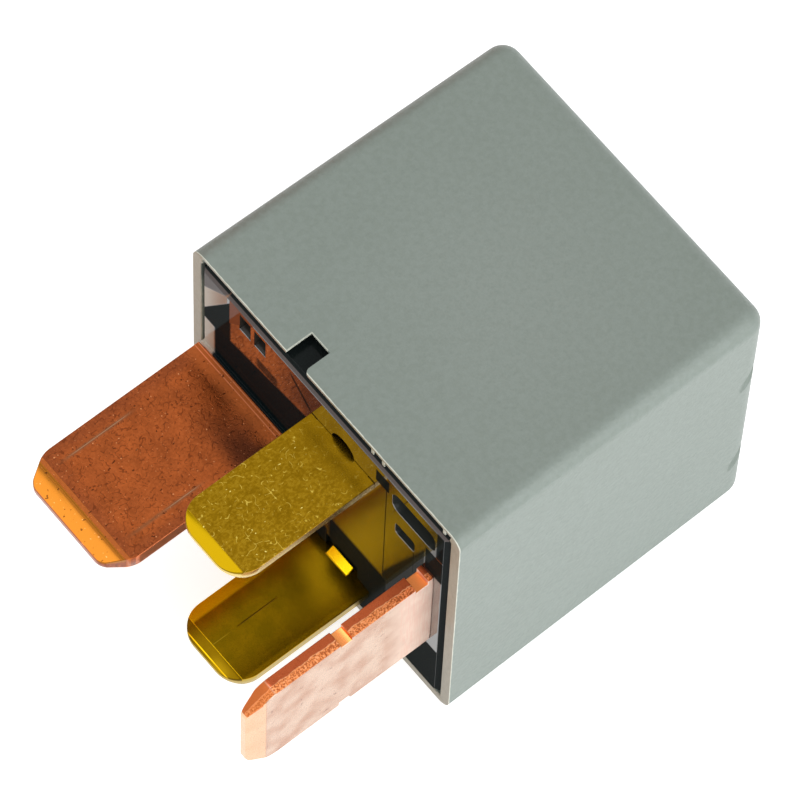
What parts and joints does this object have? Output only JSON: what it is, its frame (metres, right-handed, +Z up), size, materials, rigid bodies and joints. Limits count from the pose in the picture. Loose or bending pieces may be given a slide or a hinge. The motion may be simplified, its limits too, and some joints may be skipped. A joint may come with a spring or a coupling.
{
  "type": "automotive relay",
  "caption": "Plug-in automotive power relay: a box-shaped cover over a coil, a hinged armature and contacts, with two wide copper blades and two narrow brass blades.",
  "frame": {"origin": "under the middle of the relay's bounding box, on the surface it lies on", "axes": "+Z up as the relay lies on one long side, +Y from the blades towards the cover's closed end, +X towards the blade that stands on edge (87)"},
  "size_m": [0.0264, 0.0406, 0.0258],
  "materials": {
    "cover_plastic": "fine moulded grain, grey-green",
    "base_plastic": "glossy black moulding",
    "blade_copper": "bare copper, tarnished, with rubbed marks",
    "blade_copper_pale": "bare copper, pale face and bright sheared edges",
    "blade_brass": "bare brass with fine scratches",
    "relay_iron": "plated soft iron",
    "bobbin_plastic": "natural moulding",
    "coil_wire": "enamelled copper wire",
    "tape_film": "amber polyester film",
    "contact_silver": "silver alloy",
    "stop_steel": "tinned steel",
    "resistor_lacquer": "lacquered film resistor",
    "tinned_wire": "tinned copper wire",
    "spring_bronze": "rolled copper alloy strip"
  },
  "bodies": {
    "relay_body": {"cover": "cover_plastic", "base": "base_plastic", "terminal_30": "blade_copper", "terminal_87": "blade_copper_pale", "terminal_85": "blade_brass", "terminal_86": "blade_brass", "yoke": "relay_iron", "core": "relay_iron", "bobbin": "bobbin_plastic", "winding": "coil_wire", "coil_tape": "tape_film", "coil_lead_start": "coil_wire", "coil_lead_finish": "coil_wire", "fixed_contact": "contact_silver", "back_stop": "stop_steel", "yoke_rivets": "stop_steel", "resistor_body": "resistor_lacquer", "resistor_leads": "tinned_wire"},
    "armature_group": {"armature": "relay_iron", "armature_rivets": "stop_steel", "contact_spring": "spring_bronze", "moving_contact": "contact_silver"}
  },
  "joints": [
    {"name": "armature_hinge", "type": "hinge", "parent": "relay_body", "child": "armature_group", "pos_m": [-0.0104, 0.01395, 0.0129], "axis": [0, 0, -1], "range_deg": [0, 3], "stiffness_Nm_per_rad": 0.006, "springref_deg": -20.05, "deforming": ["contact_spring"]}
  ]
}
